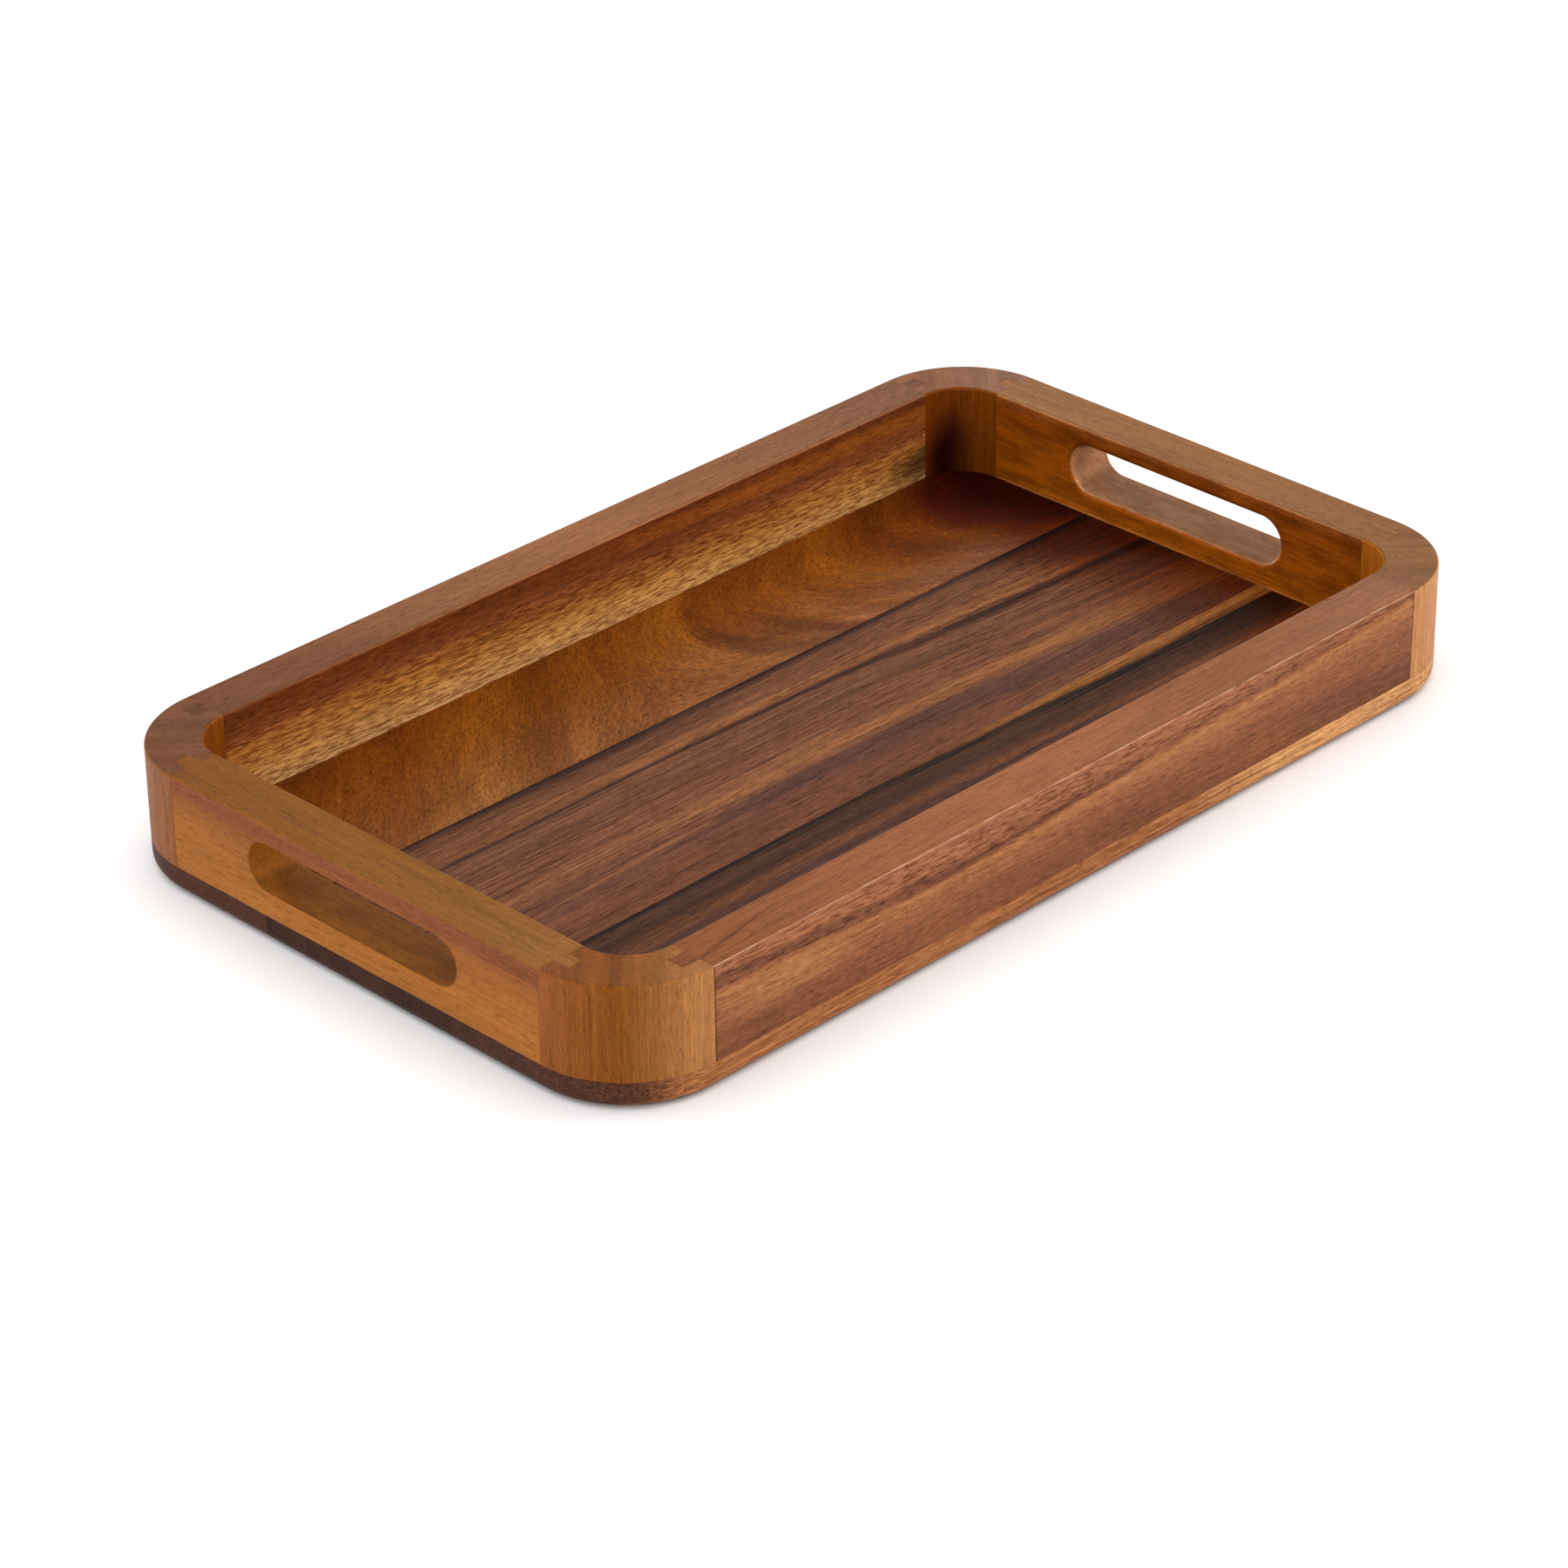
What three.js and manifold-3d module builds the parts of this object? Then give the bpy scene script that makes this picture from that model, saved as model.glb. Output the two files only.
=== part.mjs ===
// Wooden serving tray: four rails and four corner blocks, tongued together into a
// frame and glued onto a base of three boards. Millimetres, +Z up, origin under the
// centre of the tray. +X runs along the long side, -Y is the front.

import * as THREE from 'three';
import { mergeVertices } from 'three/addons/utils/BufferGeometryUtils.js';
import Module from 'manifold-3d';

const wasm = await Module();
wasm.setup();

// ---------- driving dimensions ----------

const LENGTH = 500;
const WIDTH = 300;
const BASE_THICKNESS = 12;
const WALL_HEIGHT = 41.5;
const LONG_RAIL_THICKNESS = 23;
const HANDLE_RAIL_THICKNESS = 24;

const OUTER_CORNER_RADIUS = 45.5;
const INNER_CORNER_RADIUS = 22;
const TOP_EASING = 1.5; // rounding of the rim's two top arrises
const BASE_ROUNDOVER = 6; // rounding of the base's bottom edge
const CORNER_STEPS = 20; // straight steps in each quarter turn

// The two seams between the three base boards. The front one is slightly askew.
const BACK_SEAM_Y = 51;
const FRONT_SEAM_Y_LEFT = -53; // where it meets the left end
const FRONT_SEAM_Y_RIGHT = -47.75; // where it meets the right end

// Each rail ends in a shoulder with one tongue, which enters the corner block.
const LONG_SHOULDER_X = 204;
const LONG_TONGUE = { length: 8, thickness: 8 };
const HANDLE_SHOULDER_Y = 104.5;
const HANDLE_TONGUE = { length: 7.5, thickness: 7 };

// The hand slot: a long hole with round ends through each handle rail.
const SLOT_LENGTH = 119;
const SLOT_HEIGHT = 21.5;
const SLOT_CENTRE_BELOW_RIM = 19.75;
const SLOT_OUTER_EASING = 0.75;
const SLOT_INNER_EASING = 3;
const SLOT_SEGMENTS = 48;
const SLOT_EASING_STEPS = 4;

const TOP = BASE_THICKNESS + WALL_HEIGHT;
const WELL_LENGTH = LENGTH - 2 * HANDLE_RAIL_THICKNESS;
const WELL_WIDTH = WIDTH - 2 * LONG_RAIL_THICKNESS;
const PAST = 10; // how far a cutting solid runs past what it cuts

// ---------- helpers ----------

function toSolid(geometry) {
  const bare = geometry.clone();
  bare.deleteAttribute('normal');
  bare.deleteAttribute('uv');
  const merged = mergeVertices(bare, 1e-5);
  return new wasm.Manifold(
    new wasm.Mesh({
      numProp: 3,
      vertProperties: new Float32Array(merged.attributes.position.array),
      triVerts: new Uint32Array(merged.index.array),
    }),
  );
}

function toGeometry(solid) {
  const mesh = solid.getMesh();
  const geometry = new THREE.BufferGeometry();
  geometry.setAttribute('position', new THREE.BufferAttribute(mesh.vertProperties, mesh.numProp));
  geometry.setIndex(new THREE.BufferAttribute(mesh.triVerts, 1));
  geometry.computeVertexNormals();
  return geometry;
}

// A rectangle centred on the origin with equal round corners.
function roundedRectangle(length, width, radius, target = new THREE.Shape()) {
  const x = length / 2 - radius;
  const y = width / 2 - radius;
  target.moveTo(-x, -width / 2);
  target.absarc(x, -y, radius, -Math.PI / 2, 0, false);
  target.absarc(x, y, radius, 0, Math.PI / 2, false);
  target.absarc(-x, y, radius, Math.PI / 2, Math.PI, false);
  target.absarc(-x, -y, radius, Math.PI, (Math.PI * 3) / 2, false);
  return target;
}

function polygon(points) {
  return new THREE.Shape(points.map(([x, y]) => new THREE.Vector2(x, y)));
}

// An upright prism over a flat outline, from one height to another.
function prism(shape, bottom, top) {
  const geometry = new THREE.ExtrudeGeometry(shape, {
    depth: top - bottom,
    bevelEnabled: false,
    curveSegments: CORNER_STEPS,
  });
  return toSolid(geometry.translate(0, 0, bottom));
}

// The same prism with its top and bottom edges rounded.
function easedPrism(shape, bottom, top, radius, steps) {
  const geometry = new THREE.ExtrudeGeometry(shape, {
    depth: top - bottom - 2 * radius,
    bevelEnabled: true,
    bevelThickness: radius,
    bevelSize: radius,
    bevelOffset: -radius,
    bevelSegments: steps,
    curveSegments: CORNER_STEPS,
  });
  return toSolid(geometry.translate(0, 0, bottom + radius));
}

// ---------- whole frame and whole base, before they are divided ----------

// The wall all the way round, with eased top arrises and a sharp bottom edge.
function wholeFrame() {
  const outline = roundedRectangle(LENGTH, WIDTH, OUTER_CORNER_RADIUS);
  outline.holes.push(roundedRectangle(WELL_LENGTH, WELL_WIDTH, INNER_CORNER_RADIUS, new THREE.Path()));
  const wall = easedPrism(outline, BASE_THICKNESS - PAST, TOP, TOP_EASING, 3);
  const room = prism(roundedRectangle(LENGTH + PAST, WIDTH + PAST, 1), BASE_THICKNESS, TOP + PAST);
  return wall.intersect(room);
}

// The base all over, with a rounded bottom edge and a sharp top edge.
function wholeBase() {
  const outline = roundedRectangle(LENGTH, WIDTH, OUTER_CORNER_RADIUS);
  const slab = easedPrism(outline, 0, BASE_THICKNESS + 2 * PAST, BASE_ROUNDOVER, 6);
  const room = prism(roundedRectangle(LENGTH + PAST, WIDTH + PAST, 1), -PAST, BASE_THICKNESS);
  return slab.intersect(room);
}

// ---------- plan outlines of the pieces ----------

const LONG_TONGUE_SIDES = tongueSides(WIDTH / 2 - LONG_RAIL_THICKNESS / 2, LONG_TONGUE);
const HANDLE_TONGUE_SIDES = tongueSides(LENGTH / 2 - HANDLE_RAIL_THICKNESS / 2, HANDLE_TONGUE);
const LONG_TIP_X = LONG_SHOULDER_X + LONG_TONGUE.length;
const HANDLE_TIP_Y = HANDLE_SHOULDER_Y + HANDLE_TONGUE.length;

function tongueSides(centre, tongue) {
  return [centre - tongue.thickness / 2, centre + tongue.thickness / 2];
}

// A long rail at the front (side = -1) or the back (side = 1), tongues included.
function longRailPlan(side) {
  const inner = WIDTH / 2 - LONG_RAIL_THICKNESS - PAST;
  const outer = WIDTH / 2 + PAST;
  const [near, far] = LONG_TONGUE_SIDES;
  const halfOutline = [
    [LONG_SHOULDER_X, inner],
    [LONG_SHOULDER_X, near],
    [LONG_TIP_X, near],
    [LONG_TIP_X, far],
    [LONG_SHOULDER_X, far],
    [LONG_SHOULDER_X, outer],
  ];
  const mirrored = halfOutline.map(([x, y]) => [-x, y]).reverse();
  return polygon([...halfOutline, ...mirrored].map(([x, y]) => [x, side * y]));
}

// A handle rail at the left (side = -1) or the right (side = 1), tongues included.
function handleRailPlan(side) {
  const inner = LENGTH / 2 - HANDLE_RAIL_THICKNESS - PAST;
  const outer = LENGTH / 2 + PAST;
  const [near, far] = HANDLE_TONGUE_SIDES;
  const halfOutline = [
    [inner, HANDLE_SHOULDER_Y],
    [near, HANDLE_SHOULDER_Y],
    [near, HANDLE_TIP_Y],
    [far, HANDLE_TIP_Y],
    [far, HANDLE_SHOULDER_Y],
    [outer, HANDLE_SHOULDER_Y],
  ];
  const mirrored = halfOutline.map(([x, y]) => [x, -y]).reverse();
  return polygon([...halfOutline, ...mirrored].map(([x, y]) => [side * x, y]));
}

// A corner block, square at its two shoulders, with a groove for each tongue.
function cornerBlockPlan(sideX, sideY) {
  const outerX = LENGTH / 2 + PAST;
  const outerY = WIDTH / 2 + PAST;
  const [longNear, longFar] = LONG_TONGUE_SIDES;
  const [handleNear, handleFar] = HANDLE_TONGUE_SIDES;
  const outline = [
    [LONG_SHOULDER_X, HANDLE_SHOULDER_Y],
    [handleNear, HANDLE_SHOULDER_Y],
    [handleNear, HANDLE_TIP_Y],
    [handleFar, HANDLE_TIP_Y],
    [handleFar, HANDLE_SHOULDER_Y],
    [outerX, HANDLE_SHOULDER_Y],
    [outerX, outerY],
    [LONG_SHOULDER_X, outerY],
    [LONG_SHOULDER_X, longFar],
    [LONG_TIP_X, longFar],
    [LONG_TIP_X, longNear],
    [LONG_SHOULDER_X, longNear],
  ];
  return polygon(outline.map(([x, y]) => [sideX * x, sideY * y]));
}

// ---------- the hand slot ----------

// A round hole with both lips flared, turned about the slot's axis and then
// pulled apart along its length into a slot with round ends.
function slotCutter(side) {
  const radius = SLOT_HEIGHT / 2;
  const outerFace = LENGTH / 2;
  const innerFace = outerFace - HANDLE_RAIL_THICKNESS;
  const profile = [new THREE.Vector2(0, innerFace - PAST)];
  profile.push(new THREE.Vector2(radius + SLOT_INNER_EASING, innerFace - PAST));
  profile.push(...lip(radius, SLOT_INNER_EASING, innerFace, 1));
  profile.push(...lip(radius, SLOT_OUTER_EASING, outerFace, -1).reverse());
  profile.push(new THREE.Vector2(radius + SLOT_OUTER_EASING, outerFace + PAST));
  profile.push(new THREE.Vector2(0, outerFace + PAST));

  const geometry = new THREE.LatheGeometry(profile, SLOT_SEGMENTS, Math.PI / SLOT_SEGMENTS);
  geometry.rotateZ(-Math.PI / 2);
  pullApart(geometry.attributes.position, (SLOT_LENGTH - SLOT_HEIGHT) / 2);
  if (side < 0) geometry.rotateZ(Math.PI);
  geometry.translate(0, 0, TOP - SLOT_CENTRE_BELOW_RIM);
  return toSolid(geometry);
}

// Quarter-round lip from a rail's face (height = face) into the hole.
function lip(radius, easing, face, inward) {
  const points = [];
  for (let i = 0; i <= SLOT_EASING_STEPS; i += 1) {
    const angle = (i / SLOT_EASING_STEPS) * (Math.PI / 2);
    const flare = easing * (1 - Math.sin(angle));
    const depth = easing * (1 - Math.cos(angle));
    points.push(new THREE.Vector2(radius + flare, face + inward * depth));
  }
  return points;
}

function pullApart(positions, distance) {
  for (let i = 0; i < positions.count; i += 1) {
    const y = positions.getY(i);
    if (Math.abs(y) > 1e-3) positions.setY(i, y + Math.sign(y) * distance);
  }
}

// ---------- materials ----------

function wood(colour) {
  return new THREE.MeshStandardMaterial({ color: colour, roughness: 0.5, metalness: 0 });
}

// ---------- assembly ----------

const tray = new THREE.Group();

function addPiece(name, solid, colour) {
  const mesh = new THREE.Mesh(toGeometry(solid), wood(colour));
  mesh.name = name;
  tray.add(mesh);
}

const frame = wholeFrame();
const base = wholeBase();

function pieceOfFrame(plan) {
  return frame.intersect(prism(plan, BASE_THICKNESS - PAST, TOP + PAST));
}

const CORNERS = [
  ['corner_block_front_left', -1, -1, '#8f5228'],
  ['corner_block_front_right', 1, -1, '#9c6236'],
  ['corner_block_back_left', -1, 1, '#8a5634'],
  ['corner_block_back_right', 1, 1, '#8d5a38'],
];
for (const [name, sideX, sideY, colour] of CORNERS) {
  addPiece(name, pieceOfFrame(cornerBlockPlan(sideX, sideY)), colour);
}

addPiece('front_rail', pieceOfFrame(longRailPlan(-1)), '#8a4f30');
addPiece('back_rail', pieceOfFrame(longRailPlan(1)), '#85502f');

addPiece('left_handle_rail', pieceOfFrame(handleRailPlan(-1)).subtract(slotCutter(-1)), '#a2652c');
addPiece('right_handle_rail', pieceOfFrame(handleRailPlan(1)).subtract(slotCutter(1)), '#a06a3a');

// Each base board lies between a near seam and a far seam, from one end to the other.
function boardPlan(near, far) {
  return polygon([
    [-LENGTH / 2 - PAST, seamY(near, -LENGTH / 2 - PAST)],
    [LENGTH / 2 + PAST, seamY(near, LENGTH / 2 + PAST)],
    [LENGTH / 2 + PAST, seamY(far, LENGTH / 2 + PAST)],
    [-LENGTH / 2 - PAST, seamY(far, -LENGTH / 2 - PAST)],
  ]);
}

// A seam is given by its y at the tray's left and right ends.
function seamY([left, right], x) {
  return left + (right - left) * (x / LENGTH + 0.5);
}

const FRONT_SIDE = [-WIDTH / 2 - PAST, -WIDTH / 2 - PAST];
const FRONT_SEAM = [FRONT_SEAM_Y_LEFT, FRONT_SEAM_Y_RIGHT];
const BACK_SEAM = [BACK_SEAM_Y, BACK_SEAM_Y];
const BACK_SIDE = [WIDTH / 2 + PAST, WIDTH / 2 + PAST];

const BOARDS = [
  ['base_board_front', FRONT_SIDE, FRONT_SEAM, '#4e2f22'],
  ['base_board_middle', FRONT_SEAM, BACK_SEAM, '#6b4129'],
  ['base_board_back', BACK_SEAM, BACK_SIDE, '#7d4a20'],
];
for (const [name, near, far, colour] of BOARDS) {
  const cell = prism(boardPlan(near, far), -PAST, BASE_THICKNESS + PAST);
  addPiece(name, base.intersect(cell), colour);
}

export default tray;
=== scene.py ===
import cmath
import math

import bmesh
import bpy
from mathutils import Matrix, Vector


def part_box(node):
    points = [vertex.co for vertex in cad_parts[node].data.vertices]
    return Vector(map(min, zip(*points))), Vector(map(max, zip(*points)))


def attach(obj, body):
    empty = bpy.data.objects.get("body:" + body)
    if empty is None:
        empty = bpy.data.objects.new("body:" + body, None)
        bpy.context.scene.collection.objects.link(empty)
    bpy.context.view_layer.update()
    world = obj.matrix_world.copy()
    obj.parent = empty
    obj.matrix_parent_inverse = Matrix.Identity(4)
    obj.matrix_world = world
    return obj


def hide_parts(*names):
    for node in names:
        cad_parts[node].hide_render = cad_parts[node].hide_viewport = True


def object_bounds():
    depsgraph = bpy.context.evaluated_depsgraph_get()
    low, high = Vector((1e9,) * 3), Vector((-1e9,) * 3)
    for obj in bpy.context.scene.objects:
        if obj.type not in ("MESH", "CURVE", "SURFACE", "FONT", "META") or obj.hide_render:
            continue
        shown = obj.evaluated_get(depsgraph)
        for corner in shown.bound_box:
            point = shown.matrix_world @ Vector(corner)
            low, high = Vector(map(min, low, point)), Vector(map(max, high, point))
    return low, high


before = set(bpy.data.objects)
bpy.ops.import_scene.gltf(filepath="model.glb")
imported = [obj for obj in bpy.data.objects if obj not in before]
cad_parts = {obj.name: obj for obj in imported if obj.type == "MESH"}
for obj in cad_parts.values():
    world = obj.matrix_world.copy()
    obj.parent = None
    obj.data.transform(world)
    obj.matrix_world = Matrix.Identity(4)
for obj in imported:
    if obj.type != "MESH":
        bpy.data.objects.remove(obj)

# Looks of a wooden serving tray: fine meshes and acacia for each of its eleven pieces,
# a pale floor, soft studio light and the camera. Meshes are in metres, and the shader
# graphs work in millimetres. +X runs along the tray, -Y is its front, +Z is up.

cad_low, cad_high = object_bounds()

MM = 0.001

# ---------- sizes: the frame gives them, apart from the fine ones ----------

HALF_LENGTH = cad_high.x
HALF_WIDTH = cad_high.y
RIM_Z = cad_high.z
BASE_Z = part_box("front_rail")[0].z
WELL_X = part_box("right_handle_rail")[0].x
WELL_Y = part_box("back_rail")[0].y
LONG_SHOULDER_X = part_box("corner_block_back_right")[0].x
HANDLE_SHOULDER_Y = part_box("corner_block_back_right")[0].y
LONG_TIP_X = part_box("back_rail")[1].x
HANDLE_TIP_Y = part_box("right_handle_rail")[1].y
BACK_SEAM_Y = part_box("base_board_back")[0].y
FRONT_SEAM_Y = (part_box("base_board_middle")[0].y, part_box("base_board_front")[1].y)

OUTER_RADIUS = 45.5 * MM
INNER_RADIUS = 22 * MM
LONG_TONGUE = 8 * MM
HANDLE_TONGUE = 7 * MM
RIM_EASING = 1.5 * MM
BASE_ROUNDOVER = 6 * MM
SLOT_LENGTH = 119 * MM
SLOT_HEIGHT = 21.5 * MM
SLOT_Z = RIM_Z - 19.75 * MM
SLOT_OUTER_EASING = 0.75 * MM
SLOT_INNER_EASING = 3 * MM

GROOVE = 0.08 * MM  # fine vee along the joints of the frame
SEAM_GROOVE = 0.05 * MM  # the same along the seams of the base, which were sanded flush
JOINT_GAP = 0.02 * MM  # half of the glue line
TIP_GAP = 0.25 * MM  # glue left past the end of each tongue

CORNER_STEPS = 48
EASING_STEPS = 8
SLOT_STEPS = 48
PAST = 10 * MM  # how far a cutter runs past what it cuts
PARALLEL = 1e-9  # edges that turn by less than this run on straight
SHARP_ANGLE = math.radians(50)  # a fold over this keeps a hard line in the shading

# ---------- plan outlines: complex numbers, counter-clockwise ----------
# An outline is a list of (corner, kind of the edge that leaves it).

FACE, JOINT, ARRIS = "face", "joint", "arris"


def arc(centre, radius, start, end):
    """Corners along a quarter turn, from start to end in degrees."""
    turn = math.radians(end - start)
    return [
        centre + cmath.rect(radius, math.radians(start) + turn * i / CORNER_STEPS)
        for i in range(CORNER_STEPS + 1)
    ]


def outline(*runs):
    """Runs of (kind, corners), each going on to the next one's first corner."""
    return [(corner, kind) for kind, corners in runs for corner in corners]


def mirrored(shape, side_x, side_y):
    """The outline in another quarter of the plan, still counter-clockwise."""
    moved = [(complex(side_x * p.real, side_y * p.imag), kind) for p, kind in shape]
    if side_x * side_y > 0:
        return moved
    count = len(moved)
    return [(moved[-1 - i][0], moved[(-2 - i) % count][1]) for i in range(count)]


def direction(start, end):
    return (end - start) / abs(end - start)


def softened(shape, size):
    """The outline with each corner between a face and a joint cut by a fine arris."""
    result = []
    for i, (corner, kind) in enumerate(shape):
        before, kind_before = shape[i - 1]
        after = shape[(i + 1) % len(shape)][0]
        if kind == kind_before:
            result.append((corner, kind))
        else:
            result.append((corner + direction(corner, before) * size, ARRIS))
            result.append((corner + direction(corner, after) * size, kind))
    return result


def inset(shape, face, joint):
    """Corners of the outline with its edges moved inwards, faces and joints apart."""
    depth = {FACE: face, JOINT: joint, ARRIS: (face + joint) / math.sqrt(2)}
    lines = []
    for i, (corner, kind) in enumerate(shape):
        along = direction(corner, shape[(i + 1) % len(shape)][0])
        lines.append((corner + 1j * along * depth[kind], along))
    corners = []
    for i, (point, along) in enumerate(lines):
        before, along_before = lines[i - 1]
        turn = (along_before.conjugate() * along).imag
        if abs(turn) < PARALLEL:
            corners.append(point)
        else:
            reach = ((point - before).conjugate() * along).imag / turn
            corners.append(before + along_before * reach)
    return corners


def tongue(near_centre, thickness):
    return near_centre - thickness / 2, near_centre + thickness / 2


LONG_SIDES = tongue((WELL_Y + HALF_WIDTH) / 2, LONG_TONGUE)
HANDLE_SIDES = tongue((WELL_X + HALF_LENGTH) / 2, HANDLE_TONGUE)
OUTER_CENTRE = complex(HALF_LENGTH - OUTER_RADIUS, HALF_WIDTH - OUTER_RADIUS)
INNER_CENTRE = complex(WELL_X - INNER_RADIUS, WELL_Y - INNER_RADIUS)


def corner_outline():
    """Plan of the back right block, with a groove for each rail's tongue."""
    near, far = HANDLE_SIDES
    tip = HANDLE_TIP_Y + TIP_GAP
    handle_joint = [
        complex(WELL_X, HANDLE_SHOULDER_Y),
        complex(near, HANDLE_SHOULDER_Y),
        complex(near, tip),
        complex(far, tip),
        complex(far, HANDLE_SHOULDER_Y),
    ]
    near, far = LONG_SIDES
    tip = LONG_TIP_X + TIP_GAP
    long_joint = [
        complex(LONG_SHOULDER_X, HALF_WIDTH),
        complex(LONG_SHOULDER_X, far),
        complex(tip, far),
        complex(tip, near),
        complex(LONG_SHOULDER_X, near),
    ]
    return outline(
        (JOINT, handle_joint),
        (FACE, [complex(HALF_LENGTH, HANDLE_SHOULDER_Y)]),
        (FACE, arc(OUTER_CENTRE, OUTER_RADIUS, 0, 90)[1:]),
        (JOINT, long_joint),
        (FACE, [complex(LONG_SHOULDER_X, WELL_Y)]),
        (FACE, arc(INNER_CENTRE, INNER_RADIUS, 90, 0)[1:]),
    )


def long_rail_outline():
    """Plan of the back rail, with a tongue at each end."""
    near, far = LONG_SIDES
    end = [
        complex(LONG_SHOULDER_X, WELL_Y),
        complex(LONG_SHOULDER_X, near),
        complex(LONG_TIP_X, near),
        complex(LONG_TIP_X, far),
        complex(LONG_SHOULDER_X, far),
        complex(LONG_SHOULDER_X, HALF_WIDTH),
    ]
    return rail_outline(end, [complex(-p.real, p.imag) for p in reversed(end)])


def handle_rail_outline():
    """Plan of the right handle rail, with a tongue at each end."""
    near, far = HANDLE_SIDES
    end = [
        complex(HALF_LENGTH, HANDLE_SHOULDER_Y),
        complex(far, HANDLE_SHOULDER_Y),
        complex(far, HANDLE_TIP_Y),
        complex(near, HANDLE_TIP_Y),
        complex(near, HANDLE_SHOULDER_Y),
        complex(WELL_X, HANDLE_SHOULDER_Y),
    ]
    return rail_outline(end, [p.conjugate() for p in reversed(end)])


def rail_outline(one_end, other_end):
    return outline(
        (JOINT, one_end[:-1]),
        (FACE, one_end[-1:]),
        (JOINT, other_end[:-1]),
        (FACE, other_end[-1:]),
    )


def side_board_outline(seam_left, seam_right):
    """Plan of a base board at the back, whose seam is given at its two ends."""
    right = arc(OUTER_CENTRE, OUTER_RADIUS, 0, 90)
    left = [complex(-p.real, p.imag) for p in reversed(right)]
    return outline(
        (JOINT, [complex(-HALF_LENGTH, seam_left)]),
        (FACE, [complex(HALF_LENGTH, seam_right), *right, *left]),
    )


def middle_board_outline():
    left, right = FRONT_SEAM_Y
    return outline(
        (JOINT, [complex(-HALF_LENGTH, left)]),
        (FACE, [complex(HALF_LENGTH, right)]),
        (JOINT, [complex(HALF_LENGTH, BACK_SEAM_Y)]),
        (FACE, [complex(-HALF_LENGTH, BACK_SEAM_Y)]),
    )


# ---------- layers: (height, inset of the faces, inset of the joints) ----------


def vee(height, bottom, top, size):
    """How far a joint stands back at a height, with a fine vee at both ends."""
    return JOINT_GAP + max(0, height - (top - size), bottom + size - height)


def frame_layers():
    """Walls that stand square on the base and round over at the rim."""
    levels = [(BASE_Z, GROOVE), (BASE_Z + GROOVE, 0)]
    angles = [i / EASING_STEPS * math.pi / 2 for i in range(EASING_STEPS + 1)]
    angles.append(math.asin(1 - GROOVE / RIM_EASING))
    for angle in sorted(angles):
        height = RIM_Z - RIM_EASING * (1 - math.sin(angle))
        levels.append((height, RIM_EASING * (1 - math.cos(angle))))
    return [(z, face, vee(z, BASE_Z, RIM_Z, GROOVE)) for z, face in levels]


def base_layers():
    """A board that rounds under at the tray's edge."""
    angles = [i / EASING_STEPS * math.pi / 2 for i in range(EASING_STEPS + 1)]
    angles.append(math.acos(1 - SEAM_GROOVE / BASE_ROUNDOVER))
    levels = []
    for angle in sorted(angles):
        height = BASE_ROUNDOVER * (1 - math.cos(angle))
        levels.append((height, BASE_ROUNDOVER * (1 - math.sin(angle))))
    levels.append((BASE_Z - GROOVE, 0))
    levels.append((BASE_Z - SEAM_GROOVE, GROOVE - SEAM_GROOVE))
    levels.append((BASE_Z, GROOVE))
    return [(z, face, vee(z, 0, BASE_Z, SEAM_GROOVE)) for z, face in levels]


# ---------- meshes ----------


def closed_mesh(name, rings):
    """A solid through a stack of rings of points, closed by a flat face at each end."""
    mesh = bmesh.new()
    stack = [[mesh.verts.new(point) for point in ring] for ring in rings]
    count = len(stack[0])
    for below, above in zip(stack, stack[1:]):
        for i in range(count):
            j = (i + 1) % count
            mesh.faces.new((below[i], below[j], above[j], above[i]))
    mesh.faces.new(reversed(stack[0]))
    mesh.faces.new(stack[-1])
    bmesh.ops.recalc_face_normals(mesh, faces=mesh.faces)
    data = bpy.data.meshes.new(name)
    mesh.to_mesh(data)
    mesh.free()
    made = bpy.data.objects.new(name, data)
    bpy.context.scene.collection.objects.link(made)
    return made


def layered_piece(name, shape, layers, arris):
    shape = softened(shape, arris)
    rings = []
    for height, face, joint in layers:
        corners = inset(shape, face, joint)
        rings.append([(p.real, p.imag, height) for p in corners])
    return closed_mesh(name, rings)


def slot_ring(x, radius):
    """A ring round the hand slot: two half circles joined by straight sides."""
    reach = (SLOT_LENGTH - SLOT_HEIGHT) / 2
    ring = []
    for end, start in ((1, -90), (-1, 90)):
        for i in range(SLOT_STEPS + 1):
            angle = math.radians(start + 180 * i / SLOT_STEPS)
            y = end * reach + radius * math.cos(angle)
            ring.append((x, y, SLOT_Z + radius * math.sin(angle)))
    return ring


def slot_cutter(side):
    """A bar the shape of the hand slot that flares at the rail's two faces."""
    radius = SLOT_HEIGHT / 2
    profile = [(WELL_X - PAST, radius + SLOT_INNER_EASING)]
    for i in range(EASING_STEPS + 1):
        angle = i / EASING_STEPS * math.pi / 2
        flare, depth = 1 - math.sin(angle), 1 - math.cos(angle)
        inner = WELL_X + SLOT_INNER_EASING * depth
        profile.append((inner, radius + SLOT_INNER_EASING * flare))
    for i in range(EASING_STEPS + 1):
        angle = i / EASING_STEPS * math.pi / 2
        flare, depth = 1 - math.cos(angle), 1 - math.sin(angle)
        outer = HALF_LENGTH - SLOT_OUTER_EASING * depth
        profile.append((outer, radius + SLOT_OUTER_EASING * flare))
    profile.append((HALF_LENGTH + PAST, radius + SLOT_OUTER_EASING))
    return closed_mesh("slot_cutter", [slot_ring(side * x, r) for x, r in profile])


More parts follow.
